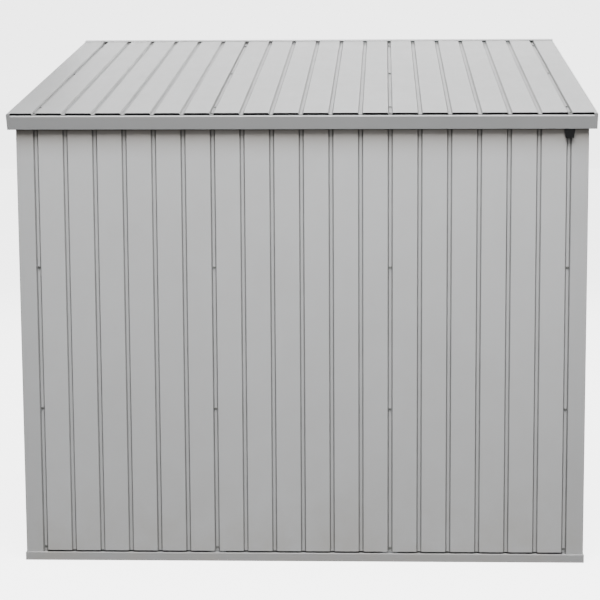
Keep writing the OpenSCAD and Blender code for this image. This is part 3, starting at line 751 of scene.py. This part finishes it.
def screwModel():
    # washer with a hexagon on it, standing on z = 0
    onlySelect()
    depth = screw["flangeHeight"]
    bpy.ops.mesh.primitive_cylinder_add(
        vertices=20, radius=screw["flange"], depth=depth, location=(0, 0, depth / 2)
    )
    washer = newPiece("screw_washer")
    pick(washer, "FACE", lambda f: f.normal.z > 0.9)
    bpy.ops.mesh.inset(thickness=0.5 * mm, depth=0.25 * mm)
    place(washer, washer.matrix_world.copy())
    bottom = depth * 0.5
    tall = screw["height"] - bottom
    bpy.ops.mesh.primitive_cylinder_add(
        vertices=6, radius=screw["hex"], depth=tall, location=(0, 0, bottom + tall / 2)
    )
    head = newPiece("screw_head")
    pick(head, "FACE", lambda f: f.normal.z > 0.9)
    bpy.ops.mesh.inset(thickness=0.3 * mm, depth=0.15 * mm)
    bpy.ops.mesh.inset(thickness=0.75 * mm, depth=-0.35 * mm)
    place(head, head.matrix_world.copy())
    model = joined(washer, head)
    smoothed(model, 25)
    return model


screwStart = screwModel()


def screwSet(node, body, matrix):
    # a head on every screw of the CAD node; z of the matrix points to the side of the heads
    heads = []
    for corner, far in islands(node, matrix.inverted()):
        middle = (corner + far) / 2
        head = screwStart.copy()
        head.data = screwStart.data.copy()
        bpy.context.collection.objects.link(head)
        spin = turned(len(heads) * screw["spin"], "Z")
        seat = Matrix.Translation((middle.x, middle.y, far.z - screw["height"]))
        place(head, matrix @ seat @ spin)
        heads.append(head)
    piece = joined(*heads)
    piece.name = node + "_heads"
    piece.data.name = piece.name
    return finished(piece, body, screwZinc, "zinc", node)


for side in ("front", "back", "left", "right"):
    screwSet(side + "_screws", "box", wallFrames[side] @ standing)
screwSet("lid_screws", "lid", lidFrame)
screwSet("hinge_body_screws", "box", wallFrames["back"] @ standing)
screwSet("hinge_lid_screws", "lid", lidFrame @ turned(math.pi, "X"))
bpy.data.objects.remove(screwStart)
print("screws placed")


# catch behind the front trim

catch = {
    "thickness": 2.5 * mm,
    "bend": 1 * mm,
    "elbow": 2 * mm,
    "round": 0.6 * mm,
    "taper": 0.74,                 # width at the bottom over width at the top
    "rib": (5 * mm, 8 * mm),       # width and height
    "ribRound": 1.4 * mm,
}


def lidCatch():
    # a tab that follows the front trim and is bent to hang plumb below it
    node = "lid_catch"
    low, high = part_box(node)
    middle = (low.x + high.x) / 2
    wide = high.x - low.x
    top = lidExtent(node)[1].z
    bend = lidExtent("lid_front_trim")[0].z - lidTrim["thickness"]
    upper, elbow = [lidFrame @ Vector((0, lidTrim["thickness"], n)) for n in (top, bend)]
    path = [(elbow.y, -low.z), (elbow.y, -elbow.z), (upper.y, -upper.z)]
    piece = foldStrip(node + "_moulded", path, -wide / 2, wide / 2, catch["bend"])
    onlySelect(piece)
    bpy.ops.object.mode_set(mode="EDIT")
    pick(piece, "EDGE", lambda e: foldAngle(e) > math.radians(5))
    bpy.ops.mesh.bevel(offset=catch["elbow"], segments=3, affect="EDGES")
    pick(piece, "VERT", lambda v: v.co.z < low.z + slack)
    bpy.ops.transform.resize(value=(1, catch["taper"], 1), center_override=(0, 0, 0))
    place(piece, Matrix.Translation((middle, 0, 0)) @ sideways)
    finishWith(piece, "SOLIDIFY", thickness=catch["thickness"], offset=-1, use_even_offset=True)
    finishWith(piece, "BEVEL", width=catch["round"], segments=3, limit_method="ANGLE")
    smoothed(piece)
    onlySelect()
    ribWide, ribTall = catch["rib"]
    start = elbow.y + catch["thickness"] * 0.6
    bpy.ops.mesh.primitive_cube_add(size=1)
    rib = newPiece("catch_rib")
    bpy.ops.mesh.select_all(action="SELECT")
    bpy.ops.transform.resize(value=(ribWide, high.y - start, ribTall))
    bpy.ops.transform.translate(value=(middle, (high.y + start) / 2, low.z + ribTall / 2))
    pick(rib, "EDGE", lambda e: all(v.co.y > high.y - hair for v in e.verts))
    bpy.ops.mesh.bevel(offset=catch["ribRound"], segments=4, affect="EDGES")
    place(rib, Matrix.Identity(4))
    smoothed(rib)
    return finished(joined(piece, rib), "lid", rubber, "rubber", node)


lidCatch()


# pieces that keep their CAD shape

def dress(names, finish, radius, segments=2):
    for name in names:
        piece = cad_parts[name]
        piece.data.materials.clear()
        piece.data.materials.append(finish)
        weld = piece.modifiers.new("Weld", "WELD")
        weld.merge_threshold = 0.01 * mm
        bevel = piece.modifiers.new("Bevel", "BEVEL")
        bevel.width = radius
        bevel.segments = segments
        bevel.limit_method = "ANGLE"
        bevel.angle_limit = math.radians(40)
        bevel.harden_normals = True
        smooth = piece.modifiers.new("Normals", "WEIGHTED_NORMAL")
        smooth.keep_sharp = True


dress(
    ("base_rail_front", "base_rail_back", "base_rail_left", "base_rail_right"),
    trimSteel, radius=0.7 * mm, segments=3,
)
dress(
    (
        "floor_joists", "floor_sheet_left", "floor_sheet_centre", "floor_sheet_right",
        "front_studs", "back_studs", "side_studs",
        "top_rail_front", "top_rail_back", "top_rail_left", "top_rail_right",
        "lid_rail_left", "lid_rail_right", "lid_cross_rails",
    ),
    galvanised, radius=0.5 * mm,
)
dress(
    (
        "hinge_body_leaves", "hinge_lid_leaves", "hinge_pins", "stay_wall_brackets", "stay_studs",
        "stay_lid_brackets", "stay_pivots", "stay_arm_left", "stay_arm_right",
    ),
    zincPlate, radius=0.3 * mm,
)
dress(("lid_buffer_strip",), rubber, radius=1.2 * mm, segments=3)
dress(("lid_filler_blocks",), rubber, radius=0.4 * mm)
print("CAD pieces dressed")


# floor, light and camera

studio = {
    "air": 0.10,             # light from all round
    "backdrop": 5.0,         # what the camera sees behind the box
    "floorGlow": 4.2,
    "lights": {              # place, what it points at, size and power
        "top_light": ((0.2, -1.8, 3.7), (0.2, -1.1, 0), (3.0, 2.2), 370),
        "front_light": ((0.3, -4.6, 2.0), (0, -0.4, 0.6), (2.4, 1.6), 42),
        "back_light": ((0.1, 4.0, 2.4), (0, 0.3, 0.6), (3.6, 1.4), 130),
        "left_light": ((-3.8, 0.9, 1.7), (0, 0.1, 0.6), (2, 1.4), 90),
        "right_light": ((3.8, 0.9, 1.7), (0, 0.1, 0.6), (2, 1.4), 90),
    },
}


def paleFloor():
    # bright to the eye, but it throws little light back up at the box
    finish = Finish("pale_floor")
    cloud = finish.noise(1.5, 3, 0.5)
    grain = finish.noise(180, 2, 0.5)
    colour = finish.mixed(cloud, (0.60, 0.60, 0.595, 1), (0.63, 0.63, 0.63, 1))
    seen = finish.node("BsdfPrincipled", {}, {
        "Base Color": colour, "Roughness": 0.7 + grain * 0.1,
        "Emission Color": (1, 1, 1, 1), "Emission Strength": studio["floorGlow"],
    })
    bounce = finish.node("BsdfDiffuse", {}, {"Color": (0.1, 0.1, 0.1, 1)})
    rays = finish.node("LightPath", {}, {}, "Is Camera Ray")
    material = finish.surface(finish.node("MixShader", {}, {0: rays, 1: bounce, 2: seen}))
    onlySelect()
    bpy.ops.mesh.primitive_plane_add(size=60)
    floor = bpy.context.object
    floor.name = "studio_floor"
    floor.data.materials.append(material)


def softLight(name, position, target, size, power):
    bpy.ops.object.light_add(type="AREA", location=position)
    light = bpy.context.object
    light.name = name
    light.data.shape = "RECTANGLE"
    light.data.size, light.data.size_y = size
    light.data.energy = power
    aim = Vector(target) - Vector(position)
    light.rotation_euler = aim.to_track_quat("-Z", "Y").to_euler()


def makeAir():
    world = bpy.data.worlds.new("studio_air")
    bpy.context.scene.world = world
    world.use_nodes = True
    nodes, links = world.node_tree.nodes, world.node_tree.links
    air = nodes["Background"]
    air.inputs["Color"].default_value = (1, 1, 1, 1)
    air.inputs["Strength"].default_value = studio["air"]
    backdrop = nodes.new("ShaderNodeBackground")
    backdrop.inputs["Strength"].default_value = studio["backdrop"]
    rays = nodes.new("ShaderNodeLightPath")
    both = nodes.new("ShaderNodeMixShader")
    links.new(rays.outputs["Is Camera Ray"], both.inputs[0])
    links.new(air.outputs[0], both.inputs[1])
    links.new(backdrop.outputs[0], both.inputs[2])
    links.new(both.outputs[0], nodes["World Output"].inputs["Surface"])


def makeStudio():
    paleFloor()
    makeAir()
    for name, values in studio["lights"].items():
        softLight(name, *values)


makeStudio()

view = {
    "place": (0.1944, -3.3798, 1.0466),
    "down": 5.286,           # turns in degrees, as are left and roll
    "left": 1.248,
    "roll": -0.104,
    "lens": 75.64,           # mm, on a 36 mm wide sensor
    "shift": (-0.0938, -0.0907),
}


def makeCamera():
    bpy.ops.object.camera_add(location=view["place"])
    camera = bpy.context.object
    camera.name = "view_camera"
    turn = turned(math.radians(view["left"]), "Z") @ turned(math.radians(90 - view["down"]), "X")
    camera.rotation_euler = (turn @ turned(math.radians(view["roll"]), "Z")).to_euler()
    camera.data.sensor_width = 36
    camera.data.lens = view["lens"]
    camera.data.shift_x, camera.data.shift_y = view["shift"]
    camera.data.clip_end = 200
    bpy.context.scene.camera = camera


makeCamera()
print("studio ready")
